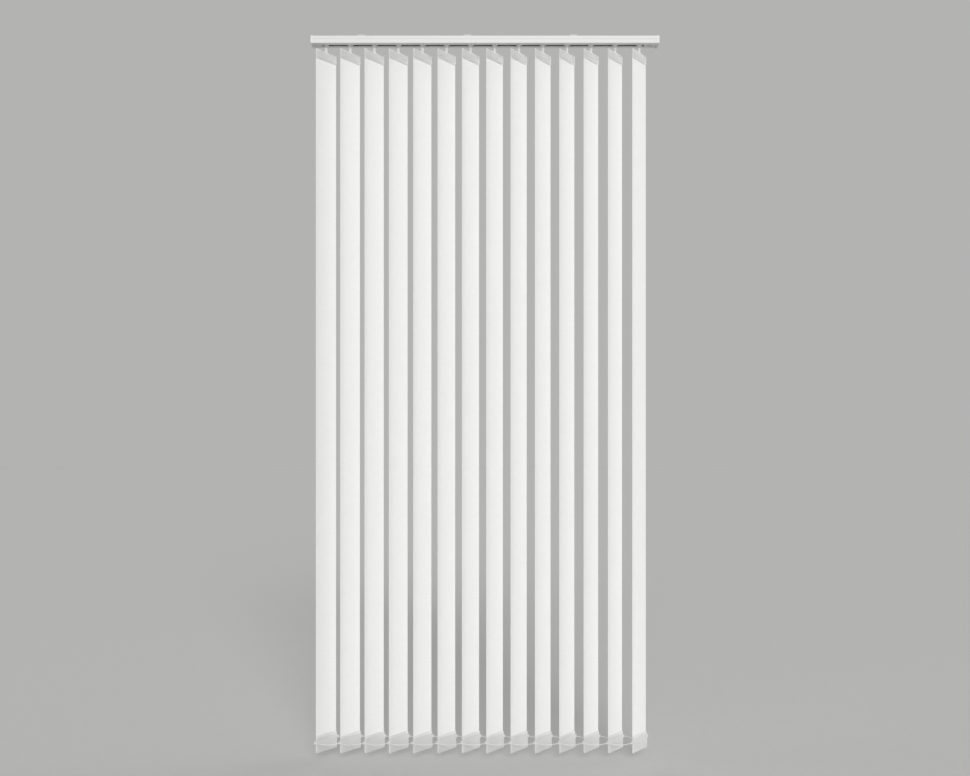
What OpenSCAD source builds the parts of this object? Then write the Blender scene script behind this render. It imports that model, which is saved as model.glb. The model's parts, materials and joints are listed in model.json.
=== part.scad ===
// Vertical blind: a slotted headrail with a row of fabric vanes on wheeled, geared carriers.
// The origin is the middle bracket's screw hole, on the plane that the brackets are fixed to.
// +X runs along the rail, +Y points to the window side and +Z points up. Sizes in millimetres.

/* [Vanes] */
// Number of vanes
vane_count = 14; // [4:1:14]
// Distance from one vane to the next
vane_pitch = 78; // [70:1:86]
// Width of a vane
vane_w = 89; // [84:1:100]
// Height of a vane, top fold to bottom fold
vane_drop = 2260; // [1200:10:2600]
// Angle of the vanes to the rail
vane_angle = 52.5; // [35:0.5:90]
// Thickness of the vane fabric
fabric_t = 0.5; // [0.3:0.05:0.7]
// Height of the folded pocket at the top of a vane
top_pocket_h = 30; // [26:1:45]
// Height of the folded pocket at the bottom of a vane
bottom_pocket_h = 54; // [52:1:70]
// Height of the sloping top of the bottom pocket
pocket_slope_h = 8; // [5:0.5:9]

/* [Headrail] */
// Depth of the rail, front to back
rail_depth = 42; // [40:0.5:48]
// Height of the rail
rail_height = 25; // [25:0.5:30]
// Thickness of the rail's walls
rail_wall = 1.2; // [0.8:0.1:1.4]
// Radius of the rail's long edges
rail_edge_r = 2; // [0.5:0.1:3]
// Width of the slot that the stems pass through
slot_w = 13; // [10:0.5:16]
// Depth of the bracket channel in the top of the rail
channel_h = 3; // [2.8:0.1:3.2]
// Width of the opening between the channel's lips
channel_open = 28; // [26:0.5:30]
// Distance from the first vane to the rail's idle end
idle_room = 39.5; // [39:0.5:60]
// Distance from the last vane to the rail's control end
control_room = 53.5; // [52:0.5:80]
// Thickness of the end caps
cap_t = 8; // [7.5:0.5:12]
// Rim of the end caps beyond the rail's sides
cap_rim = 0.8; // [0.4:0.1:1.5]

/* [Brackets] */
// Gap between the fixing plane and the rail
rail_gap = 6; // [4:0.5:10]
// Distance from the middle bracket to each outer bracket
bracket_spacing = 343; // [250:1:400]
// Distance from the middle bracket to the rail's middle
rail_shift = 57; // [0:1:80]
// Length of a bracket along the rail
bracket_len = 24; // [18:1:40]
// Thickness of a bracket
bracket_t = 1.5; // [1:0.1:2]
// Diameter of a bracket's screw hole
screw_d = 4.5; // [3.5:0.1:6]

/* [Carriers] */
// Length of a carrier along the rail
carrier_len = 17; // [16:0.5:19]
// Radius of a carrier's wheels
wheel_r = 4; // [3.6:0.1:4.2]
// Width of a carrier's wheels
wheel_w = 4.5; // [3:0.1:5]
// Radius of the wheels' pins
wheel_pin_r = 1.5; // [1:0.1:2]
// Width of a spacer link
link_w = 5; // [4:0.1:5.4]
// Thickness of a spacer link
link_t = 0.4; // [0.3:0.05:0.5]

/* [Stems and hangers] */
// Radius of a stem in its carrier
stem_r = 4; // [3.5:0.1:4.4]
// Radius of the worm wheel on a stem
gear_r = 5.8; // [5.4:0.1:6]
// Number of teeth on a worm wheel
gear_teeth = 18; // [12:1:24]
// Height of a worm wheel
gear_h = 4.6; // [3.5:0.1:5]
// Distance from the rail down to the top of a vane
hang_gap = 21.4; // [20:0.1:30]
// Width of a hanger
hanger_w = 75; // [50:1:80]
// Height of a hanger inside its pocket
hanger_h = 18; // [12:0.5:20]
// Thickness of a hanger
hanger_t = 1.2; // [0.8:0.1:1.6]
// Width of the hanger's tongue
tongue_w = 14; // [11:0.5:20]
// Radius of the pin that holds a hanger
hook_pin_r = 1.5; // [1:0.1:1.8]

/* [Weights and chains] */
// Distance from a vane's side to its weight's side
weight_inset = 2.5; // [1:0.1:4]
// Height of a weight
weight_h = 43; // [41:0.5:43]
// Thickness of a weight
weight_t = 3.2; // [2:0.1:3.6]
// Height of the chain clips above the bottom of a vane
clip_h = 35; // [30:0.5:38]
// Distance from a vane's side to its chain post
clip_reach = 7.5; // [5:0.1:9]
// Radius of a chain post
post_r = 1; // [0.8:0.05:1.2]
// Radius of a chain's beads
bead_r = 1.7; // [1.2:0.1:1.8]
// Radius of the links between beads
bead_neck_r = 0.6; // [0.4:0.05:0.8]
// Beads between two clips
bead_count = 13; // [9:1:16]
// Droop of a chain between two clips
chain_droop = 6; // [3:0.5:9]

/* [Drive] */
// Radius of the tilt rod
rod_r = 3; // [2.6:0.1:3.1]
// Radius of the sprocket that turns the tilt rod
sprocket_r = 8; // [7.5:0.1:8.4]
// Width of the sprocket
sprocket_w = 5; // [4.5:0.1:5.2]
// Bead pockets round the sprocket
sprocket_pockets = 10; // [8:1:11]
// Groove radius of the cord pulleys
pulley_r = 4.5; // [4:0.1:4.7]
// Width of the cord pulleys
pulley_w = 3.2; // [2.4:0.1:3.4]

/* [Clearances] */
// Gap where one piece runs or rests on another
run_gap = 0.3; // [0.2:0.05:0.4]
// Radial gap of a journal in its bore
journal_gap = 0.08; // [0.03:0.01:0.1]
// Gap between a pocket and what it holds
pocket_gap = 0.15; // [0.1:0.05:0.25]

/* [Hidden] */
$fn = 48;

// Overlap used by cuts that pass a face
cut = 1;

// Rail levels and places
rail_top = -rail_gap;
rail_bottom = rail_top - rail_height;
track_z = rail_bottom + rail_wall;
channel_floor = rail_top - channel_h;
ceiling_z = channel_floor - rail_wall;
rail_inner = rail_depth / 2 - rail_wall;
row_len = (vane_count - 1) * vane_pitch;
rail_len = row_len + idle_room + control_room;
idle_x = rail_shift - rail_len / 2;
control_x = idle_x + rail_len;
function vane_x(i) = idle_x + idle_room + (i - 1) * vane_pitch;

// Carrier levels, from the track up
wheel_z = track_z + run_gap + wheel_r;
body_bottom = track_z + 2 * run_gap;
body_top = ceiling_z - 2 * run_gap;
shoulder_z = wheel_z + wheel_r + run_gap;
lower_half = 11;
upper_half = 14;
wheel_spread = carrier_len / 4;
wheel_inner = lower_half + run_gap;
pin_head_t = 0.8;
pin_head_r = wheel_pin_r + 0.8;

// Spacer links lie in lanes, so that five of them can pass one another in the stack
lanes = 5;
lane_step = link_t + 0.35;
link_mid = -8;
link_channel_w = link_w + 1;
link_floor = body_top - lanes * lane_step;
link_over = 6;
function lane_z(i) = link_floor + run_gap + lane_step * (i % lanes);

// Two runs of the draw cord share an open channel beside the links
cord_mid = -1.5;
cord_channel_w = 4.6;
cord_channel_h = 2.8;

// Stem and its worm wheel
gear_room = gear_r + run_gap;
gear_top = link_floor - 1.2;
gear_bottom = gear_top - gear_h;
bore_wall = 0.3;
rod_bore_r = rod_r + 0.2;
rod_y = gear_room + bore_wall + rod_bore_r;
rod_z = (gear_top + gear_bottom) / 2;

// Hanger and fork
vane_top = rail_bottom - hang_gap;
vane_bottom = vane_top - vane_drop;
hook_z = vane_top + 8;
eye_r = hook_pin_r + 0.2;
eye_rim = 2.8;
fork_gap = hanger_t + 2 * run_gap;
fork_t = 1.7;
fork_w = 6;
fork_root_z = rail_bottom - 5;
collar_z = rail_bottom - 2;

// Fabric section: the sheet hangs behind the hanger and the weight
hanger_room = hanger_t + 2 * pocket_gap;
weight_room = weight_t + 2 * pocket_gap;
sheet_front = hanger_room / 2;
sheet_back = sheet_front + fabric_t;
pocket_front = sheet_front - weight_room - fabric_t;
top_front = -hanger_room / 2 - fabric_t;
top_slope_h = 4;
weld_h = 3;
fold_r = fabric_t;
weight_mid = sheet_front - weight_room / 2;

// Weight and chain clip
weight_w = vane_w - 2 * weight_inset;
weight_bottom = vane_bottom + fabric_t + pocket_gap;
weight_corner_r = 3;
post_x = vane_w / 2 + clip_reach;
clip_z = vane_bottom + clip_h;
clip_opening = 3.4;
clip_arm = 2.2;
ring_in = post_r + run_gap;
ring_out = ring_in + 1.1;
ring_t = 1.2;
ring_bottom = clip_z - clip_opening / 2 + run_gap;
chain_z = ring_bottom + ring_t / 2;
bead_gap = 0.1;
chain_span = vane_pitch - 2 * ring_out;
bead_step = chain_span / bead_count;

// Drive pieces at the two ends
plug_gap = run_gap;
plug_half = rail_inner - plug_gap;
plug_bottom = track_z + plug_gap;
plug_top = ceiling_z - plug_gap;
idle_plug_len = 27;
control_plug_len = 38;
axle_r = 1.5;
pulley_rim = pulley_r + 1.1;
pulley_room = pulley_rim + 0.6;
cord_z = body_top - cord_channel_h / 2;
pulley_z = cord_z - pulley_r;
pulley_x = control_x - 18.5;
pulley_pitch = pulley_w + 0.8;
return_x = idle_x + 16;
return_z = plug_top - 0.4 - pulley_w / 2;
cap_wall = 1.8;
cap_step = 0.9;
sprocket_x = control_x + (cap_t - cap_wall - sprocket_w) / 2;
sprocket_room = sprocket_r + 0.6;
outlet_w = 5.2;

function two(i) = str(i < 10 ? "0" : "", i);
function carrier_name(i) = str("carrier_", two(i));
function vane_name(i) = str("vane_", two(i));
function fittings_name(i) = str("vane_fittings_", two(i));

// Sweeps a section drawn as (Y, Z) along X
module along_x(length) {
    rotate([90, 0, 90]) linear_extrude(length) children();
}

// Sweeps an outline drawn as (X, Z) through a thickness centred on Y
module across_y(thickness) {
    rotate([90, 0, 0]) linear_extrude(thickness, center = true) children();
}

// Rectangle with round corners, centred
module round_rect(w, h, r) {
    square([w - 2 * r, h], center = true);
    square([w, h - 2 * r], center = true);
    for (sx = [-1, 1], sy = [-1, 1]) {
        translate([sx * (w / 2 - r), sy * (h / 2 - r)]) circle(r);
    }
}

// Rectangle between two levels, centred on the second axis
module band(half, z0, z1) {
    translate([-half, z0]) square([2 * half, z1 - z0]);
}

// Puts a vane's own frame, its stem axis, at station i
module at_vane(i) {
    translate([vane_x(i), 0, 0]) rotate(vane_angle) children();
}

module rail_section() {
    groove_r = 0.5;
    groove_z = rail_top - 0.42 * rail_height;
    difference() {
        translate([0, (rail_top + rail_bottom) / 2]) round_rect(rail_depth, rail_height, rail_edge_r);
        band(rail_inner, track_z, ceiling_z);
        band(slot_w / 2, rail_bottom - cut, track_z + cut);
        band(rail_inner, channel_floor, rail_top - rail_wall);
        band(channel_open / 2, channel_floor + cut, rail_top + cut);
        for (s = [-1, 1]) {
            translate([s * rail_depth / 2, groove_z]) circle(groove_r);
        }
    }
}

module headrail() {
    color("whitesmoke") translate([idle_x, 0, 0]) along_x(rail_len) rail_section();
}

// Outline of an end cap, with its rim round the rail
module cap_outline(rim) {
    translate([0, (rail_top + rail_bottom) / 2])
        round_rect(rail_depth + 2 * rim, rail_height + 2 * rim, rail_edge_r + rim);
}

// End cap as a plate with a stepped face, towards -X from its back
module cap_plate() {
    translate([cap_step - cap_t, 0, 0]) along_x(cap_t - cap_step) cap_outline(cap_rim);
    translate([-cap_t, 0, 0]) along_x(cap_t) cap_outline(cap_rim - cap_step);
}

// Outline of what plugs into the rail behind an end cap
module plug_outline() {
    difference() {
        band(plug_half, plug_bottom, plug_top);
        translate([rod_y, rod_z]) circle(rod_r + journal_gap);
    }
}

// V-grooved pulley on the Z axis, centred
module pulley() {
    rotate_extrude() difference() {
        translate([axle_r + journal_gap, -pulley_w / 2])
            square([pulley_rim - axle_r - journal_gap, pulley_w]);
        polygon([
            [pulley_r, 0],
            [pulley_rim + cut, pulley_w / 2 + cut / 4],
            [pulley_rim + cut, -pulley_w / 2 - cut / 4]
        ]);
    }
}

module idle_end_cap() {
    room_bottom = return_z - pulley_w / 2 - run_gap;
    color("white") {
        translate([idle_x, 0, 0]) cap_plate();
        difference() {
            translate([idle_x, 0, 0]) along_x(idle_plug_len) plug_outline();
            translate([return_x - pulley_room, cord_mid - pulley_room, room_bottom])
                cube([idle_plug_len, 2 * pulley_room, plug_top - room_bottom + cut]);
        }
        translate([return_x, cord_mid, room_bottom - cut / 2])
            cylinder(r = axle_r, h = plug_top - room_bottom + cut / 2);
    }
}

module return_pulley() {
    color("gainsboro") translate([return_x, cord_mid, return_z]) pulley();
}

module control_end_cap() {
    recess = cap_t - cap_wall;
    color("white") difference() {
        translate([control_x, 0, 0]) mirror([1, 0, 0]) cap_plate();
        translate([control_x - cut, 0, 0]) along_x(recess + cut) {
            translate([rod_y, rod_z]) circle(sprocket_room);
            for (s = [-1, 1]) {
                translate([rod_y + s * sprocket_r, rod_z]) {
                    translate([-outlet_w / 2, rail_bottom - cap_rim - cut - rod_z])
                        square([outlet_w, rod_z - rail_bottom + cap_rim + cut]);
                }
            }
        }
    }
}

module control_unit() {
    room_x = pulley_x - pulley_room;
    room_half = pulley_pitch / 2 + pulley_w / 2 + 0.4;
    start_x = control_x - control_plug_len;
    color("gainsboro") {
        difference() {
            translate([start_x, 0, 0]) along_x(control_plug_len) plug_outline();
            translate([room_x, cord_mid - room_half, plug_bottom - cut])
                cube([2 * pulley_room, 2 * room_half, plug_top - plug_bottom + 2 * cut]);
            translate([start_x - cut, cord_mid - cord_channel_w / 2, cord_z - cord_channel_h / 2])
                cube([room_x - start_x + 2 * cut, cord_channel_w, cord_channel_h + 2 * cut]);
        }
        translate([pulley_x, cord_mid, pulley_z]) rotate([90, 0, 0])
            cylinder(r = axle_r, h = 2 * room_half + cut, center = true);
    }
}

// Cord pulley at one side of the cord channel: side -1 is the front, 1 the rear
module cord_pulley(side) {
    color("gainsboro") translate([pulley_x, cord_mid + side * pulley_pitch / 2, pulley_z])
        rotate([90, 0, 0]) pulley();
}

// Hat-shaped bracket whose feet hold the rail under its channel lips
module bracket(x) {
    foot_top = rail_top - rail_wall - run_gap / 2;
    foot_bottom = channel_floor + run_gap / 2;
    leg_half = channel_open / 2 - 2 * run_gap;
    foot_half = leg_half + 3.6;
    color("lightgray") difference() {
        translate([x - bracket_len / 2, 0, 0]) along_x(bracket_len) {
            band(leg_half, -bracket_t, 0);
            for (s = [0, 1]) {
                mirror([s, 0]) {
                    translate([leg_half - bracket_t, foot_bottom]) square([bracket_t, -foot_bottom]);
                    translate([leg_half - bracket_t, foot_bottom])
                        square([foot_half - leg_half + bracket_t, foot_top - foot_bottom]);
                }
            }
        }
        translate([x, 0, -bracket_t - cut]) cylinder(d = screw_d, h = bracket_t + 2 * cut);
    }
}

// Fluted rod that turns every worm
module tilt_rod() {
    flutes = 3;
    flute_r = 0.7;
    start_x = idle_x + 4;
    end_x = sprocket_x + sprocket_w - 0.5;
    color("silver") translate([start_x, rod_y, rod_z]) along_x(end_x - start_x) difference() {
        circle(rod_r);
        for (k = [0:flutes - 1]) {
            rotate(90 + k * 360 / flutes) translate([rod_r, 0]) circle(flute_r);
        }
    }
}

// Bead-chain wheel on the end of the tilt rod
module tilt_sprocket() {
    color("white") translate([sprocket_x, rod_y, rod_z]) rotate([0, 90, 0]) difference() {
        cylinder(r = sprocket_r, h = sprocket_w);
        translate([0, 0, -cut]) cylinder(r = rod_r + journal_gap, h = sprocket_w + cut - 0.4);
        for (k = [0:sprocket_pockets - 1]) {
            rotate(k * 360 / sprocket_pockets) translate([sprocket_r + 0.3, 0, sprocket_w / 2])
                sphere(sprocket_w / 2 - 0.5);
        }
    }
}

// Cross-section of a carrier: rod bore, spacer-link channel and cord channel
module carrier_section() {
    difference() {
        union() {
            band(lower_half, body_bottom, body_top);
            band(upper_half, shoulder_z, body_top);
        }
        translate([rod_y, rod_z]) circle(rod_bore_r);
        translate([link_mid - link_channel_w / 2, link_floor])
            square([link_channel_w, body_top - link_floor + cut]);
        translate([cord_mid - cord_channel_w / 2, body_top - cord_channel_h])
            square([cord_channel_w, cord_channel_h + cut]);
    }
}

// Wheel on a headed pin, at the +Y side
module wheel_on_pin() {
    play = wheel_pin_r + 2 * journal_gap;
    pin_start = lower_half - cut;
    pin_end = wheel_inner + wheel_w + run_gap;
    rotate([-90, 0, 0]) {
        translate([0, 0, pin_start]) cylinder(r = wheel_pin_r, h = pin_end - pin_start + pin_head_t / 2);
        translate([0, 0, pin_end]) cylinder(r = pin_head_r, h = pin_head_t);
        translate([0, 0, wheel_inner]) difference() {
            cylinder(r = wheel_r, h = wheel_w);
            translate([0, 0, -cut]) cylinder(r = play, h = wheel_w + 2 * cut);
        }
    }
}

// Cross bar of a spacer link, or with a gap the slot that it sits in
module link_bar(i, gap) {
    bar_w = link_channel_w + 1;
    translate([-link_w / 2 - gap, link_mid - bar_w / 2 - gap, lane_z(i) - gap])
        cube([link_w + 2 * gap, bar_w + 2 * gap, link_t + 2 * gap]);
}

// Flat strip that sets the distance to the next carrier
module spacer_link(i) {
    translate([0, link_mid - link_w / 2, lane_z(i)]) cube([vane_pitch + link_over, link_w, link_t]);
    link_bar(i, 0);
}

module carrier(i) {
    color("white") translate([vane_x(i), 0, 0]) {
        difference() {
            translate([-carrier_len / 2, 0, 0]) along_x(carrier_len) carrier_section();
            translate([0, 0, body_bottom - cut])
                cylinder(r = stem_r + journal_gap, h = gear_bottom - body_bottom + cut);
            translate([0, 0, gear_bottom - run_gap]) cylinder(r = gear_room, h = gear_h + 2 * run_gap);
            if (i < vane_count) {
                link_bar(i, journal_gap);
            }
        }
        for (x = [-wheel_spread, wheel_spread], s = [0, 1]) {
            translate([x, 0, wheel_z]) mirror([0, s, 0]) wheel_on_pin();
        }
        if (i < vane_count) {
            spacer_link(i);
        }
    }
}

// Fabric vane: one sheet, folded at the top round the hanger and at the bottom round the weight
module vane_section() {
    difference() {
        polygon([
            [sheet_back, vane_bottom + fold_r],
            [sheet_back, vane_top - fold_r],
            [sheet_back - fold_r, vane_top],
            [top_front + fold_r, vane_top],
            [top_front, vane_top - fold_r],
            [top_front, vane_top - top_pocket_h + top_slope_h],
            [sheet_front, vane_top - top_pocket_h],
            [sheet_front, vane_bottom + bottom_pocket_h],
            [pocket_front, vane_bottom + bottom_pocket_h - pocket_slope_h],
            [pocket_front, vane_bottom + fold_r],
            [pocket_front + fold_r, vane_bottom],
            [sheet_back - fold_r, vane_bottom]
        ]);
        polygon([
            [sheet_front, vane_top - fabric_t],
            [top_front + fabric_t, vane_top - fabric_t],
            [top_front + fabric_t, vane_top - top_pocket_h + top_slope_h],
            [sheet_front, vane_top - top_pocket_h + weld_h]
        ]);
        polygon([
            [sheet_front, vane_bottom + fabric_t],
            [sheet_front, vane_bottom + bottom_pocket_h - weld_h],
            [pocket_front + fabric_t, vane_bottom + bottom_pocket_h - pocket_slope_h],
            [pocket_front + fabric_t, vane_bottom + fabric_t]
        ]);
    }
}

module vane(i) {
    slit_w = tongue_w + 1;
    slit_h = 2;
    color("ivory") at_vane(i) difference() {
        translate([-vane_w / 2, 0, 0]) along_x(vane_w) vane_section();
        translate([-slit_w / 2, top_front - cut, vane_top - slit_h])
            cube([slit_w, sheet_back - top_front + 2 * cut, slit_h + cut]);
    }
}

// Worm wheel with straight teeth
module gear_outline() {
    tooth_h = 0.9;
    step = 360 / gear_teeth;
    polygon([
        for (k = [0:gear_teeth - 1], p = [[0, -1], [0.2, 0], [0.5, 0], [0.7, -1]])
            (gear_r + p[1] * tooth_h) * [cos((k + p[0]) * step), sin((k + p[0]) * step)]
    ]);
}

// Stem with its worm wheel, collar and a fork that pins the hanger
module stem() {
    prong_top = fork_root_z + cut;
    prong_end = hook_z - hook_pin_r - 2;
    prong_half = fork_gap / 2 + fork_t;
    translate([0, 0, gear_bottom]) linear_extrude(gear_h) gear_outline();
    translate([0, 0, collar_z]) cylinder(r = stem_r, h = gear_bottom - collar_z + cut);
    translate([-fork_w / 2, -prong_half, fork_root_z])
        cube([fork_w, 2 * prong_half, collar_z - fork_root_z + cut]);
    for (s = [0, 1]) {
        mirror([0, s, 0]) translate([-fork_w / 2, fork_gap / 2, prong_end])
            cube([fork_w, fork_t, prong_top - prong_end]);
    }
    translate([0, 0, hook_z]) rotate([90, 0, 0])
        cylinder(r = hook_pin_r, h = fork_gap + fork_t, center = true);
}

// Flat hanger in the top pocket, with a tongue and eye for the stem's pin
module hanger() {
    top = vane_top - fabric_t - pocket_gap;
    across_y(hanger_t) difference() {
        union() {
            translate([0, top - hanger_h / 2]) round_rect(hanger_w, hanger_h, 2);
            band(tongue_w / 2, top - cut, vane_top + 2);
            translate([0, hook_z]) circle(eye_r + eye_rim);
            band(eye_r + eye_rim, vane_top, hook_z);
        }
        translate([0, hook_z]) circle(eye_r);
    }
}

// Weight in the bottom pocket, with a post at each side for the chains
module weight() {
    arm_start = weight_w / 2 - cut;
    arm_end = post_x + post_r;
    arm_half = clip_opening / 2 + clip_arm;
    translate([0, weight_mid, 0]) {
        across_y(weight_t) {
            translate([0, weight_bottom + weight_h / 2]) round_rect(weight_w, weight_h, weight_corner_r);
            for (s = [0, 1]) {
                mirror([s, 0]) difference() {
                    translate([arm_start, clip_z - arm_half]) square([arm_end - arm_start, 2 * arm_half]);
                    translate([weight_w / 2, clip_z - clip_opening / 2])
                        square([arm_end - arm_start, clip_opening]);
                }
            }
        }
        for (s = [-1, 1]) {
            translate([s * post_x, 0, clip_z])
                cylinder(r = post_r, h = clip_opening + clip_arm, center = true);
        }
    }
}

module vane_fittings(i) {
    color("white") at_vane(i) {
        stem();
        hanger();
        weight();
    }
}

// One bead with half a link at each side, along the X axis
module chain_bead() {
    rotate([0, 90, 0]) rotate_extrude($fn = 24) {
        intersection() {
            circle(bead_r);
            translate([0, -bead_r]) square([bead_r, 2 * bead_r]);
        }
        translate([0, -(bead_step - bead_gap) / 2]) square([bead_neck_r, bead_step - bead_gap]);
    }
}

// Ring round a weight's post
module chain_ring() {
    translate([0, 0, ring_bottom]) difference() {
        cylinder(r = ring_out, h = ring_t);
        translate([0, 0, -cut]) cylinder(r = ring_in, h = ring_t + 2 * cut);
    }
}

// Beads that hang in a shallow curve from one ring to the next
module chain_beads() {
    for (k = [0:bead_count - 1]) {
        u = (k + 0.5) / bead_count;
        sag = 4 * chain_droop * u * (1 - u);
        slope = 4 * chain_droop * (1 - 2 * u) / chain_span;
        translate([ring_out + u * chain_span, 0, chain_z - sag]) rotate([0, atan(slope), 0]) chain_bead();
    }
}

// Chain through the posts at one side of the vanes: side -1 is the front, 1 the rear
module chain(side) {
    post = [side * post_x, weight_mid];
    offset_x = post[0] * cos(vane_angle) - post[1] * sin(vane_angle);
    offset_y = post[0] * sin(vane_angle) + post[1] * cos(vane_angle);
    color("white") for (i = [1:vane_count]) {
        translate([vane_x(i) + offset_x, offset_y, 0]) {
            chain_ring();
            if (i < vane_count) {
                chain_beads();
            }
        }
    }
}

headrail();
idle_end_cap();
control_end_cap();
control_unit();
bracket(-bracket_spacing);  // bracket_left
bracket(0);  // bracket_middle
bracket(bracket_spacing);  // bracket_right
tilt_rod();
tilt_sprocket();
cord_pulley(-1);  // cord_pulley_front
cord_pulley(1);  // cord_pulley_rear
return_pulley();
chain(-1);  // front_chain
chain(1);  // rear_chain
for (i = [1:vane_count]) {
    carrier(i);
    vane(i);
    vane_fittings(i);
}
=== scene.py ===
# Vertical blind: fabric vanes, bead chains and finishes round the CAD frame. Lengths in metres.
import json
import math

import bpy
from mathutils import Matrix, Vector


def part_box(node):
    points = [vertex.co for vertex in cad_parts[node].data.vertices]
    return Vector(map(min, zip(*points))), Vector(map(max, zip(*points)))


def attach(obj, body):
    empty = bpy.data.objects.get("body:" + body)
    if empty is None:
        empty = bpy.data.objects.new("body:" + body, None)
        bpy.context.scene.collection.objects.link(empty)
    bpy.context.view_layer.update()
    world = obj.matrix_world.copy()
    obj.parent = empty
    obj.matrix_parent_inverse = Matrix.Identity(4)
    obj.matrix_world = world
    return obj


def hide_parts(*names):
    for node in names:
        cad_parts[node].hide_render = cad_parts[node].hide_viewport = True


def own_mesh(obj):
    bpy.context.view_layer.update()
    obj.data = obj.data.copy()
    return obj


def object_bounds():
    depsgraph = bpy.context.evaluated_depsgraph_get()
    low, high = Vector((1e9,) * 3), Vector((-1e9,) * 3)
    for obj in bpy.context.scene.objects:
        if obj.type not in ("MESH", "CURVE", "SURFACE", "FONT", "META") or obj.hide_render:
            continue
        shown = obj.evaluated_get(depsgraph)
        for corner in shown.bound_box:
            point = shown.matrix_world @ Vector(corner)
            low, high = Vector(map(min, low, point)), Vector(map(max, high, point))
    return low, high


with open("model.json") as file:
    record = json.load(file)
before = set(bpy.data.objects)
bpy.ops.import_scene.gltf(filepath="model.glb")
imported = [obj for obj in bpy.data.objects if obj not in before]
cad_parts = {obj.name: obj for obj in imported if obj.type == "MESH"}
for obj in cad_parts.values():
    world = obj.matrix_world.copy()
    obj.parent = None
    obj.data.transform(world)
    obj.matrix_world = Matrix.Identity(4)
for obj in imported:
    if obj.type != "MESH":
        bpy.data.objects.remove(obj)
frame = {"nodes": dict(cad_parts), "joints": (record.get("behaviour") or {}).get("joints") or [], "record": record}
cad_low, cad_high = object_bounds()

# Vane sizes. Depths are measured across the fabric, from the stem's axis to the middle of a layer.
VANE_WIDTH = 0.089
VANE_ANGLE = math.radians(52.5)
FABRIC_THICKNESS = 0.0005
SHEET_DEPTH = 0.0010
HANGER_LAYER_DEPTH = -0.0010
WEIGHT_LAYER_DEPTH = -0.0030
WELD_DEPTH = 0.0005
WELD_HEIGHT = 0.003
TOP_POCKET = 0.030
TOP_SLOPE = 0.004
BOTTOM_POCKET = 0.054
BOTTOM_SLOPE = 0.008
BOTTOM_FOLD_RADIUS = 0.0007
TONGUE_SLIT = 0.015
SLIT_DEPTH = 0.0022
BOW_DEPTH = 0.0018
BOW_FADE = 0.35
BOW_COLUMNS = 4

# Chain sizes
POST_REACH = 0.052
POST_DEPTH = -0.001
RING_RADIUS = 0.0024
RING_WALL = 0.0011
RING_THICKNESS = 0.0012
BEAD_RADIUS = 0.0017
LINK_RADIUS = 0.0006
BEADS_PER_SPAN = 13
CHAIN_DROOP = 0.006
CHAIN_SIDES = {"front_chain": -1, "rear_chain": 1}

# Camera of the photograph: level, in front of the rail's middle. The image is 970 by 776 pixels.
IMAGE_WIDTH = 970
IMAGE_MIDDLE = 388
HORIZON = 450
FOCAL_PIXELS = 1018
SENSOR_WIDTH = 36
CAMERA_DISTANCE = 3.297
CAMERA_ABOVE_VANE_BOTTOM = 0.972

# Studio. A soft light has its turn from the front towards the right, its height and its spread, in
# degrees, and its strength. Under these lights the floor comes out as light as the background.
BACKGROUND = (0.45, 0.45, 0.446)
FLOOR_COLOUR = (0.583, 0.583, 0.577)
FLOOR_RADIUS = 60
FLOOR_GAP = 0.03
EVEN_LIGHT = 0.42
SOFT_LIGHTS = {
    "rear_light": (-155, 10, 30, 0.85),
    "side_light": (112, 12, 40, 0.85),
    "front_light": (5, 24, 32, 1.9),
}

# Places that the frame gives
stem_joints = [joint for joint in frame["joints"] if joint["name"].startswith("tilt")]
STEM_X = sorted(joint["pos_m"][0] for joint in stem_joints)
VANE_PITCH = STEM_X[1] - STEM_X[0]
vane_names = [f"vane_{number:02d}" for number in range(1, len(STEM_X) + 1)]
vane_low, vane_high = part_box(vane_names[0])
VANE_TOP = vane_high.z
VANE_BOTTOM = vane_low.z


# Modelling steps


def deselect_all():
    for piece in bpy.context.selected_objects:
        piece.select_set(False)


def choose(*pieces):
    """Selects these pieces alone, with the first one active."""
    deselect_all()
    for piece in pieces:
        piece.select_set(True)
    bpy.context.view_layer.objects.active = pieces[0]


def apply_place(piece):
    """Moves a piece's place, turn and scale into its mesh."""
    choose(piece)
    bpy.ops.object.transform_apply(location=True, rotation=True, scale=True)


def clear_selection(piece, kind):
    """Deselects all of a piece's mesh and sets what edit mode works on: VERT, EDGE or FACE."""
    choose(piece)
    bpy.ops.object.mode_set(mode="EDIT")
    bpy.ops.mesh.select_mode(type=kind)
    bpy.ops.mesh.select_all(action="DESELECT")
    bpy.ops.object.mode_set(mode="OBJECT")


def edit_edges(piece, wanted):
    """Enters edit mode with those edges selected whose two ends are wanted."""
    clear_selection(piece, "EDGE")
    points = piece.data.vertices
    for edge in piece.data.edges:
        edge.select = all(wanted(points[end].co) for end in edge.vertices)
    bpy.ops.object.mode_set(mode="EDIT")


def edit_faces(piece, wanted):
    """Enters edit mode with those faces selected whose centre is wanted."""
    clear_selection(piece, "FACE")
    for face in piece.data.polygons:
        face.select = wanted(face.center)
    bpy.ops.object.mode_set(mode="EDIT")


def leave_edit():
    bpy.ops.object.mode_set(mode="OBJECT")


def extrude_along(path):
    """Extrudes the selected edges from point to point of a path of (depth, height)."""
    for (depth, height), (next_depth, next_height) in zip(path, path[1:]):
        step = (0, next_depth - depth, next_height - height)
        bpy.ops.mesh.extrude_edges_move(TRANSFORM_OT_translate={"value": step})


def arc(centre, radius, start, end, steps):
    """Points on an arc in the plane of depth and height, with angles in degrees."""
    angles = [math.radians(start + (end - start) * k / steps) for k in range(steps + 1)]
    return [(centre[0] + radius * math.cos(a), centre[1] + radius * math.sin(a)) for a in angles]


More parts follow.
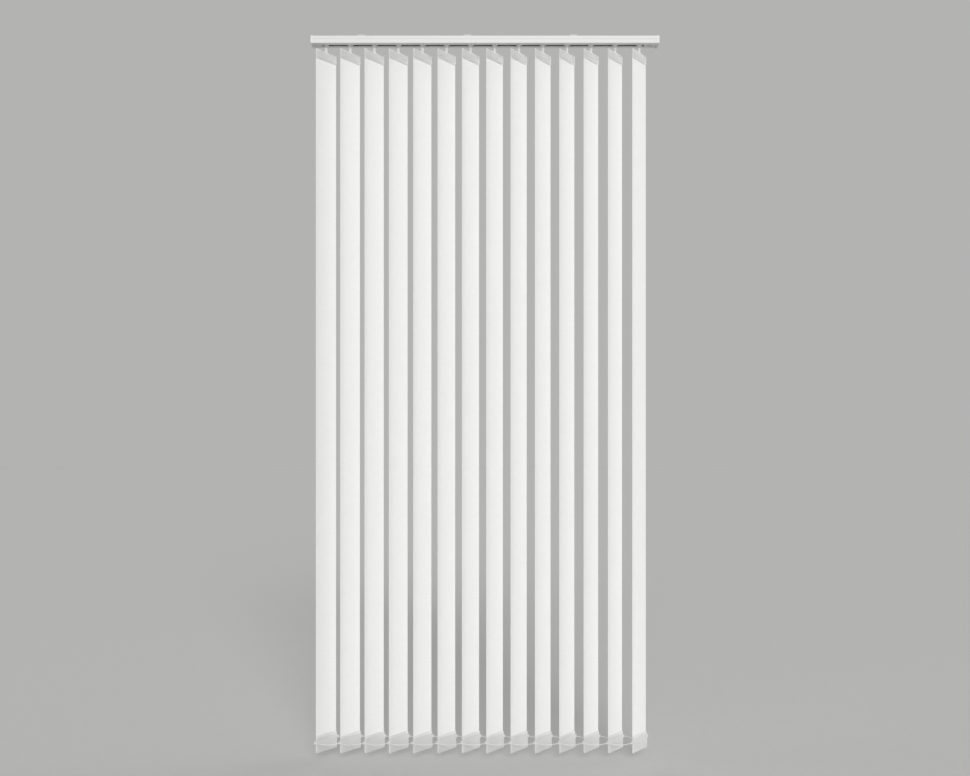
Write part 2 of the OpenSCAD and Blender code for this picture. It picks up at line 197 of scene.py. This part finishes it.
def copy_of(model, name):
    piece = model.copy()
    piece.data = model.data.copy()
    piece.name = name
    bpy.context.scene.collection.objects.link(piece)
    return piece


# Materials


class Finish:
    """A procedural material: one Principled shader, and helpers that wire nodes to it."""

    def __init__(self, name, colour, roughness, metallic=0.0):
        self.material = bpy.data.materials.new(name)
        self.material.use_nodes = True
        self.tree = self.material.node_tree
        self.shader = self.tree.nodes["Principled BSDF"]
        self.shader.inputs["Base Color"].default_value = (*colour, 1)
        self.shader.inputs["Roughness"].default_value = roughness
        self.shader.inputs["Metallic"].default_value = metallic

    def add(self, kind, sockets=None, **settings):
        node = self.tree.nodes.new("ShaderNode" + kind)
        for key, value in settings.items():
            setattr(node, key, value)
        for key, value in (sockets or {}).items():
            node.inputs[key].default_value = value
        return node

    def wire(self, output, socket):
        self.tree.links.new(output, socket)

    def place(self, kind, scale=(1, 1, 1)):
        """Object or UV coordinates, scaled."""
        coordinates = self.add("TexCoord")
        mapping = self.add("Mapping", {"Scale": scale})
        self.wire(coordinates.outputs[kind], mapping.inputs["Vector"])
        return mapping.outputs["Vector"]

    def noise(self, place, scale, detail=3.0, roughness=0.5):
        node = self.add("TexNoise", {"Scale": scale, "Detail": detail, "Roughness": roughness})
        self.wire(place, node.inputs["Vector"])
        return node.outputs["Fac"]

    def wave(self, place, direction, scale, distortion):
        sockets = {"Scale": scale, "Distortion": distortion, "Detail": 1.0, "Detail Scale": 1.0}
        node = self.add("TexWave", sockets, bands_direction=direction)
        self.wire(place, node.inputs["Vector"])
        return node.outputs["Fac"]

    def math(self, operation, *values):
        node = self.add("Math", operation=operation)
        for socket, value in zip(node.inputs, values):
            if isinstance(value, (int, float)):
                socket.default_value = value
            else:
                self.wire(value, socket)
        return node.outputs["Value"]

    def ramp(self, value, low, high, start=0.3, end=0.7):
        """Colour from low to high while a value goes from start to end."""
        node = self.add("ValToRGB")
        for element, position, colour in zip(node.color_ramp.elements, (start, end), (low, high)):
            element.position = position
            element.color = (*colour, 1)
        self.wire(value, node.inputs["Fac"])
        return node.outputs["Color"]

    def blend(self, share, first, second):
        """Goes from one colour output to a second, fixed colour."""
        node = self.add("Mix", data_type="RGBA")
        start, end = (socket for socket in node.inputs if socket.type == "RGBA")
        self.wire(share, node.inputs["Factor"])
        self.wire(first, start)
        end.default_value = (*second, 1)
        return next(socket for socket in node.outputs if socket.type == "RGBA")

    def spread(self, value, low, high):
        """Number from low to high while a value goes from 0 to 1."""
        node = self.add("MapRange", {"To Min": low, "To Max": high})
        self.wire(value, node.inputs["Value"])
        return node.outputs["Result"]

    def bump(self, height, strength, distance):
        node = self.add("Bump", {"Strength": strength, "Distance": distance})
        self.wire(height, node.inputs["Height"])
        self.wire(node.outputs["Normal"], self.shader.inputs["Normal"])

    def colour(self, output):
        self.wire(output, self.shader.inputs["Base Color"])

    def roughness(self, output):
        self.wire(output, self.shader.inputs["Roughness"])


def shade(colour, factor):
    return tuple(channel * factor for channel in colour)


def dusty(finish, colour):
    """Thin patchy dust over a colour where the surface faces up."""
    dust = (0.45, 0.43, 0.40)
    split = finish.add("SeparateXYZ")
    finish.wire(finish.add("NewGeometry").outputs["Normal"], split.inputs["Vector"])
    patches = finish.noise(finish.place("Object"), 60, detail=5, roughness=0.65)
    facing_up = finish.math("SMOOTH_MAX", finish.math("SUBTRACT", split.outputs["Z"], 0.6), 0.0, 0.1)
    return finish.blend(finish.math("MULTIPLY", facing_up, patches), colour, dust)


def moulded_plastic(name, colour, roughness, grain):
    """White plastic with a fine moulded grain and faint changes of shade."""
    finish = Finish(name, colour, roughness)
    place = finish.place("Object")
    cloud = finish.noise(place, 90, detail=2)
    finish.colour(finish.ramp(cloud, shade(colour, 0.955), colour))
    finish.roughness(finish.spread(cloud, roughness - 0.06, roughness + 0.08))
    finish.bump(finish.noise(place, grain, detail=2), 0.12, 0.0001)
    return finish.material


def rail_paint():
    """Satin coat on drawn aluminium: faint die lines along the rail, orange peel, dust on top."""
    colour = (0.71, 0.71, 0.698)
    finish = Finish("rail_paint", colour, 0.4)
    die_lines = finish.noise(finish.place("Object", (0.6, 60, 60)), 14, detail=2)
    coat = finish.ramp(die_lines, shade(colour, 0.955), colour, 0.35, 0.65)
    finish.colour(dusty(finish, coat))
    orange_peel = finish.noise(finish.place("Object"), 900, detail=2)
    finish.roughness(finish.spread(orange_peel, 0.34, 0.48))
    finish.bump(orange_peel, 0.1, 0.0001)
    return finish.material


def zinc_plate():
    """Zinc-plated steel: soft spangle and fine rolling lines, dust on top."""
    colour = (0.52, 0.52, 0.52)
    finish = Finish("bracket_steel", colour, 0.6, metallic=1.0)
    spangle = finish.add("TexVoronoi", {"Scale": 220})
    finish.wire(finish.place("Object"), spangle.inputs["Vector"])
    lines = finish.noise(finish.place("Object", (6, 60, 60)), 30, detail=4)
    flakes = finish.math("MULTIPLY_ADD", spangle.outputs["Distance"], 0.5, lines)
    plate = finish.ramp(flakes, shade(colour, 0.82), colour, 0.4, 1.0)
    finish.colour(dusty(finish, plate))
    finish.roughness(finish.spread(flakes, 0.52, 0.7))
    finish.bump(lines, 0.12, 0.0001)
    return finish.material


def drawn_aluminium():
    """Bare rod with long drawing streaks."""
    colour = (0.75, 0.75, 0.76)
    finish = Finish("rod_aluminium", colour, 0.3, metallic=1.0)
    streaks = finish.noise(finish.place("Object", (1, 60, 60)), 30, detail=4)
    finish.colour(finish.ramp(streaks, shade(colour, 0.84), colour))
    finish.roughness(finish.spread(streaks, 0.2, 0.42))
    finish.bump(streaks, 0.15, 0.0001)
    return finish.material


def vane_fabric(layout):
    """Stiffened off-white weave on a UV map in metres, with slubs, weld ribs, a painted highlight on the hems and
    painted shade on the bottom pocket.
    """
    colour = (0.83, 0.828, 0.815)
    # The darker pocket colour is painted shade, and the lighter hem colour is a painted highlight.
    pocket_painted_shade, pocket_shade_share = shade(colour, 0.72), 0.35
    hem_painted_highlight, hem_highlight_share = shade(colour, 1.2), 0.55
    thread_pitch = 0.00055
    weld_rib_pitch = 0.0016
    weave_depth = 0.0002
    light_reach = 0.0020
    wave_length = math.pi / 10
    finish = Finish("vane_fabric", colour, 0.85)
    place = finish.place("UV")
    warp, weft = (finish.wave(place, axis, wave_length / thread_pitch, 1.2) for axis in "XY")
    weave = finish.math("MAXIMUM", warp, weft)
    slubs = finish.noise(finish.place("UV", (25, 700, 1)), 1.0, detail=3, roughness=0.6)
    cloth = finish.math("MULTIPLY_ADD", weave, 0.45, slubs)
    tone = finish.ramp(cloth, shade(colour, 0.94), shade(colour, 1.02), 0.55, 1.1)

    split = finish.add("SeparateXYZ")
    finish.wire(place, split.inputs["Vector"])
    along = split.outputs["Y"]
    # Painted shade: the bottom pocket is darkened where the weight behind it keeps back the light that comes
    # through the fabric.
    in_pocket = finish.math("COMPARE", along, layout["fold"], BOTTOM_POCKET - BOTTOM_SLOPE)
    tone = finish.blend(finish.math("MULTIPLY", in_pocket, pocket_shade_share), tone, pocket_painted_shade)
    # Painted highlight: the welds and the pocket's sloping top are lightened where they would catch light. Their
    # ribs are a real bump.
    in_hem = finish.math("COMPARE", along, *layout["hems"][0])
    for hem in layout["hems"][1:]:
        in_hem = finish.math("MAXIMUM", in_hem, finish.math("COMPARE", along, *hem))
    tone = finish.blend(finish.math("MULTIPLY", in_hem, hem_highlight_share), tone, hem_painted_highlight)
    finish.colour(tone)

    ribs = finish.math("MULTIPLY", finish.wave(place, "X", wave_length / weld_rib_pitch, 0.0), in_hem)
    finish.bump(finish.math("ADD", ribs, cloth), 0.4, weave_depth)
    finish.shader.inputs["Subsurface Weight"].default_value = 1.0
    finish.shader.inputs["Subsurface Radius"].default_value = (1, 1, 1)
    finish.shader.inputs["Subsurface Scale"].default_value = light_reach
    finish.shader.inputs["Sheen Weight"].default_value = 0.12
    finish.shader.inputs["Sheen Roughness"].default_value = 0.5
    finish.shader.inputs["Specular IOR Level"].default_value = 0.25
    return finish.material


# Fabric vanes


def front_layer():
    """Lower and upper end of the layer in front of the hanger, as heights."""
    return VANE_TOP - TOP_POCKET + TOP_SLOPE, VANE_TOP - SLIT_DEPTH


def down_path():
    """Middle of the fabric from the top of the front layer to the bottom weld.

    It goes over the hanger, down the sheet and round the weight.
    """
    fold_steps, sheet_steps, corner_steps = 8, 36, 4
    half = FABRIC_THICKNESS / 2
    fold_radius = (SHEET_DEPTH - HANGER_LAYER_DEPTH) / 2
    fold_depth = (SHEET_DEPTH + HANGER_LAYER_DEPTH) / 2
    hem_top = VANE_BOTTOM + BOTTOM_POCKET
    corner = BOTTOM_FOLD_RADIUS
    corner_height = VANE_BOTTOM + half + corner
    slit_end = front_layer()[1]
    path = [(HANGER_LAYER_DEPTH, slit_end)]
    path += arc((fold_depth, VANE_TOP - half - fold_radius), fold_radius, 180, 0, fold_steps)
    for k in range(sheet_steps + 1):
        path.append((SHEET_DEPTH, slit_end + (hem_top - slit_end) * k / sheet_steps))
    path += arc((SHEET_DEPTH - corner, corner_height), corner, 0, -90, corner_steps)
    path += arc((WEIGHT_LAYER_DEPTH + corner, corner_height), corner, -90, -180, corner_steps)
    path += [(WEIGHT_LAYER_DEPTH, hem_top - BOTTOM_SLOPE), (WELD_DEPTH, hem_top)]
    return path


def whole_path():
    """Middle of the fabric from weld to weld."""
    lower_end = front_layer()[0]
    return [(WELD_DEPTH, VANE_TOP - TOP_POCKET), (HANGER_LAYER_DEPTH, lower_end)] + down_path()


def distances(path):
    """Distance along a path at each of its points."""
    total = [0.0]
    for a, b in zip(path, path[1:]):
        total.append(total[-1] + math.dist(a, b))
    return total


def fabric_layout():
    """Where details lie along the fabric.

    Gives its length, the place of the bottom fold, and each hem as (middle, half height).
    """
    path = whole_path()
    along = distances(path)
    length = along[-1]
    sheet = [(height, s) for (depth, height), s in zip(path, along) if depth == SHEET_DEPTH]
    top_height, top_along = max(sheet)
    weld = WELD_HEIGHT / 2
    slope = BOTTOM_SLOPE / 2
    top_hem = top_along + top_height - (VANE_TOP - TOP_POCKET) - weld
    bottom_hem = top_along + top_height - (VANE_BOTTOM + BOTTOM_POCKET) + weld
    hems = [(weld, weld), (length - slope, slope), (top_hem, weld), (bottom_hem, weld)]
    return {"length": length, "fold": length - BOTTOM_POCKET, "hems": hems}


def column_lines():
    """Places across the vane where its mesh is cut: the slit's two sides, and steps for the bow."""
    half_slit = TONGUE_SLIT / 2
    step = (VANE_WIDTH / 2 - half_slit) / BOW_COLUMNS
    return [side * (half_slit + step * k) for side in (-1, 1) for k in range(BOW_COLUMNS)]


def bow_fabric(vane):
    """Slight bow across the hanging sheet, hollow at the front, that fades out near the pockets."""
    lowest = VANE_BOTTOM + BOTTOM_POCKET
    highest = VANE_TOP - TOP_POCKET
    bow = vane.vertex_groups.new(name="bow")
    for point in vane.data.vertices:
        across = 1 - (2 * point.co.x / VANE_WIDTH) ** 2
        share = min(point.co.z - lowest, highest - point.co.z) / BOW_FADE
        share = min(max(share, 0), 1)
        bow.add([point.index], across * share * share * (3 - 2 * share), "REPLACE")
    push = vane.modifiers.new("bow", "DISPLACE")
    push.direction = "Y"
    push.mid_level = 0
    push.strength = BOW_DEPTH
    push.vertex_group = bow.name
    bpy.ops.object.modifier_apply(modifier=push.name)
    vane.vertex_groups.clear()


def model_vane(material):
    """One vane round its stem's axis: the front layer, extruded along the fabric and thickened."""
    lower, upper = front_layer()
    middle = (lower + upper) / 2
    deselect_all()
    bpy.ops.mesh.primitive_plane_add(
        size=1,
        calc_uvs=False,
        location=(0, HANGER_LAYER_DEPTH, middle),
        rotation=(math.pi / 2, 0, 0),
    )
    vane = bpy.context.object
    vane.name = "vane_model"
    vane.scale = (VANE_WIDTH, upper - lower, 1)
    apply_place(vane)
    for place in column_lines():
        edit_faces(vane, lambda centre: True)
        bpy.ops.mesh.bisect(plane_co=(place, 0, 0), plane_no=(1, 0, 0))
        leave_edit()
    edit_edges(vane, lambda point: point.z < middle)
    extrude_along([(HANGER_LAYER_DEPTH, lower), (WELD_DEPTH, VANE_TOP - TOP_POCKET)])
    leave_edit()
    edit_edges(vane, lambda point: point.z > middle)
    extrude_along(down_path())
    leave_edit()
    edit_faces(vane, lambda centre: abs(centre.x) < TONGUE_SLIT / 2 and centre.z > upper)
    bpy.ops.mesh.delete(type="FACE")
    bpy.ops.mesh.select_all(action="SELECT")
    bpy.ops.mesh.normals_make_consistent(inside=False)
    leave_edit()
    lay_weave(vane)
    bow_fabric(vane)
    thickness = vane.modifiers.new("thickness", "SOLIDIFY")
    thickness.thickness = FABRIC_THICKNESS
    thickness.offset = 0
    bpy.ops.object.modifier_apply(modifier=thickness.name)
    bpy.ops.object.shade_smooth_by_angle(angle=math.radians(35))
    vane.data.materials.append(material)
    return vane


def lay_weave(vane):
    """UV map in metres: across the vane, and along the fabric from weld to weld."""
    path = whole_path()
    along = distances(path)
    layer = vane.data.uv_layers.new(name="weave")
    spots = []
    for point in vane.data.vertices:
        gaps = [abs(depth - point.co.y) + abs(height - point.co.z) for depth, height in path]
        spots.append((point.co.x, along[gaps.index(min(gaps))]))
    for loop in vane.data.loops:
        layer.data[loop.index].uv = spots[loop.vertex_index]


def hang_vanes():
    """One sheet of fabric round the hanger and the weight of each vane."""
    layout = fabric_layout()
    model = model_vane(vane_fabric(layout))
    for name, x in zip(vane_names, STEM_X):
        vane = copy_of(model, f"fabric_{name}")
        vane.matrix_world = Matrix.Translation((x, 0, 0)) @ Matrix.Rotation(VANE_ANGLE, 4, "Z")
        apply_place(vane)
        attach(vane, name)
        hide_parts(name)
    bpy.data.objects.remove(model)


# Bead chains


def model_bead(step):
    """One bead with half a link at each side, along X: a small ring, extruded and widened."""
    sides, bands = 10, 6
    shoulder = math.asin(LINK_RADIUS / BEAD_RADIUS)
    turns = [math.pi - shoulder - (math.pi - 2 * shoulder) * k / bands for k in range(bands + 1)]
    profile = [(BEAD_RADIUS * math.cos(turn), BEAD_RADIUS * math.sin(turn)) for turn in turns]
    profile = [(-step / 2, LINK_RADIUS), *profile, (step / 2, LINK_RADIUS)]
    deselect_all()
    bpy.ops.mesh.primitive_circle_add(
        vertices=sides,
        radius=LINK_RADIUS,
        location=(profile[0][0], 0, 0),
        rotation=(0, math.pi / 2, 0),
    )
    bead = bpy.context.object
    apply_place(bead)
    edit_edges(bead, lambda point: True)
    for (x, radius), (next_x, next_radius) in zip(profile, profile[1:]):
        bpy.ops.mesh.extrude_edges_move(TRANSFORM_OT_translate={"value": (next_x - x, 0, 0)})
        widen = next_radius / radius
        bpy.ops.transform.resize(value=(1, widen, widen), center_override=(next_x, 0, 0))
    bpy.ops.mesh.select_all(action="SELECT")
    bpy.ops.mesh.fill_holes(sides=0)
    bpy.ops.mesh.normals_make_consistent(inside=False)
    leave_edit()
    bpy.ops.object.shade_smooth_by_angle(angle=math.radians(50))
    return bead


def model_ring():
    """Moulded ring that lies round a weight's post."""
    deselect_all()
    bpy.ops.mesh.primitive_torus_add(
        major_radius=RING_RADIUS - RING_WALL / 2,
        minor_radius=RING_WALL / 2,
        major_segments=24,
        minor_segments=8,
    )
    ring = bpy.context.object
    ring.scale.z = RING_THICKNESS / RING_WALL
    apply_place(ring)
    bpy.ops.object.shade_smooth_by_angle(angle=math.radians(60))
    return ring


def ring_centre(node, x):
    """Centre of a chain's ring on the vane whose stem is at x."""
    post = Matrix.Rotation(VANE_ANGLE, 2) @ Vector((CHAIN_SIDES[node] * POST_REACH, POST_DEPTH))
    return Vector((x + post.x, post.y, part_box(node)[1].z - RING_THICKNESS / 2))


def join_parts(parts, material):
    """Makes one model of placed copies."""
    choose(*parts)
    bpy.ops.object.join()
    model = bpy.context.object
    apply_place(model)
    model.data.materials.append(material)
    return model


def hang_rings(material):
    """Rings on the two posts of each vane's weight, which turn with the vane."""
    ring = model_ring()
    hoops = []
    for node in CHAIN_SIDES:
        hoop = copy_of(ring, f"{node}_ring")
        hoop.location = ring_centre(node, 0)
        hoops.append(hoop)
    pair = join_parts(hoops, material)
    for name, x in zip(vane_names, STEM_X):
        rings = copy_of(pair, f"chain_rings_{name}")
        rings.location.x = x
        apply_place(rings)
        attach(rings, name)
    bpy.data.objects.remove(ring)
    bpy.data.objects.remove(pair)


def model_span(length, material):
    """Beads from one ring to the next, along X, with the chain's droop."""
    bead = model_bead(length / BEADS_PER_SPAN)
    balls = []
    for k in range(BEADS_PER_SPAN):
        share = (k + 0.5) / BEADS_PER_SPAN
        drop = 4 * CHAIN_DROOP * share * (1 - share)
        slope = 4 * CHAIN_DROOP * (1 - 2 * share) / length
        ball = copy_of(bead, "bead")
        ball.location = (share * length, 0, -drop)
        ball.rotation_euler = (0, math.atan(slope), 0)
        balls.append(ball)
    bpy.data.objects.remove(bead)
    return join_parts(balls, material)


def hang_chains(material):
    """Spans of beads from ring to ring."""
    length = VANE_PITCH - 2 * RING_RADIUS
    span = model_span(length, material)
    for node in CHAIN_SIDES:
        for number, x in enumerate(STEM_X[:-1]):
            start = ring_centre(node, x) + Vector((RING_RADIUS, 0, 0))
            beads = copy_of(span, f"beads_{node}_{number + 1:02d}")
            beads.location = start
            apply_place(beads)
            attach(beads, node)
            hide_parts(node)
            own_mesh(beads)
    bpy.data.objects.remove(span)


# Finishes on the CAD nodes


def finish_frame(finishes):
    """Gives each CAD node the finish of its material slot."""
    for entry in frame["record"]["subparts"]:
        slot = entry["material_slot"]
        if slot in finishes:
            surface = frame["nodes"][entry["node"]].data
            surface.materials.clear()
            surface.materials.append(finishes[slot])


# Stage, light and camera


def plain_floor():
    """Pale floor to the horizon, as light as the background."""
    deselect_all()
    bpy.ops.mesh.primitive_circle_add(
        vertices=96,
        radius=FLOOR_RADIUS,
        fill_type="NGON",
        location=(0, 0, cad_low.z - FLOOR_GAP),
    )
    floor = bpy.context.object
    floor.name = "floor"
    apply_place(floor)
    paper = Finish("floor_paper", FLOOR_COLOUR, 1.0)
    paper.shader.inputs["Specular IOR Level"].default_value = 0.0
    grain = paper.noise(paper.place("Object"), 40, detail=4)
    paper.colour(paper.ramp(grain, shade(FLOOR_COLOUR, 0.99), shade(FLOOR_COLOUR, 1.01)))
    floor.data.materials.append(paper.material)


def soft_light(name, turn, height, spread, strength):
    """Light from far away, from a direction and with a spread in degrees."""
    light = bpy.data.lights.new(name, "SUN")
    light.angle = math.radians(spread)
    light.energy = strength
    lamp = bpy.data.objects.new(name, light)
    lamp.rotation_euler = (math.radians(90 - height), 0, math.radians(turn))
    bpy.context.scene.collection.objects.link(lamp)


def studio_light():
    """Even light, a plain background for what is seen or mirrored, and the soft lights."""
    world = bpy.data.worlds.new("studio")
    world.use_nodes = True
    tree = world.node_tree
    even = tree.nodes["Background"]
    even.inputs["Color"].default_value = (1, 1, 1, 1)
    even.inputs["Strength"].default_value = EVEN_LIGHT
    seen = tree.nodes.new("ShaderNodeBackground")
    seen.inputs["Color"].default_value = (*BACKGROUND, 1)
    path = tree.nodes.new("ShaderNodeLightPath")
    share = path.outputs["Is Camera Ray"]
    for ray in ("Is Glossy Ray", "Is Transmission Ray"):
        either = tree.nodes.new("ShaderNodeMath")
        either.operation = "MAXIMUM"
        tree.links.new(share, either.inputs[0])
        tree.links.new(path.outputs[ray], either.inputs[1])
        share = either.outputs["Value"]
    mix = tree.nodes.new("ShaderNodeMixShader")
    tree.links.new(share, mix.inputs["Fac"])
    tree.links.new(even.outputs["Background"], mix.inputs[1])
    tree.links.new(seen.outputs["Background"], mix.inputs[2])
    tree.links.new(mix.outputs["Shader"], tree.nodes["World Output"].inputs["Surface"])
    bpy.context.scene.world = world
    for name, aim in SOFT_LIGHTS.items():
        soft_light(name, *aim)


def photo_camera():
    """Camera with the photograph's view and frame."""
    camera = bpy.data.cameras.new("photo_camera")
    camera.sensor_width = SENSOR_WIDTH
    camera.lens = FOCAL_PIXELS / IMAGE_WIDTH * SENSOR_WIDTH
    camera.shift_y = (HORIZON - IMAGE_MIDDLE) / IMAGE_WIDTH
    rail_low, rail_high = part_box("headrail")
    viewer = bpy.data.objects.new("photo_camera", camera)
    viewer.location.x = (rail_low.x + rail_high.x) / 2
    viewer.location.y = -CAMERA_DISTANCE
    viewer.location.z = VANE_BOTTOM + CAMERA_ABOVE_VANE_BOTTOM
    viewer.rotation_euler.x = math.pi / 2
    bpy.context.scene.collection.objects.link(viewer)
    bpy.context.scene.camera = viewer


finish_frame({
    "rail_paint": rail_paint(),
    "cap_plastic": moulded_plastic("cap_plastic", (0.74, 0.74, 0.727), 0.42, 1500),
    "drive_plastic": moulded_plastic("drive_plastic", (0.72, 0.72, 0.70), 0.45, 1200),
    "bracket_steel": zinc_plate(),
    "rod_aluminium": drawn_aluminium(),
    "carrier_plastic": moulded_plastic("carrier_plastic", (0.83, 0.83, 0.815), 0.4, 1300),
    "fitting_plastic": moulded_plastic("fitting_plastic", (0.88, 0.88, 0.87), 0.3, 1500),
})
hang_vanes()
chain_plastic = moulded_plastic("chain_plastic", (0.89, 0.89, 0.88), 0.28, 1800)
hang_rings(chain_plastic)
hang_chains(chain_plastic)
plain_floor()
studio_light()
photo_camera()
bpy.context.scene.view_settings.view_transform = "Standard"
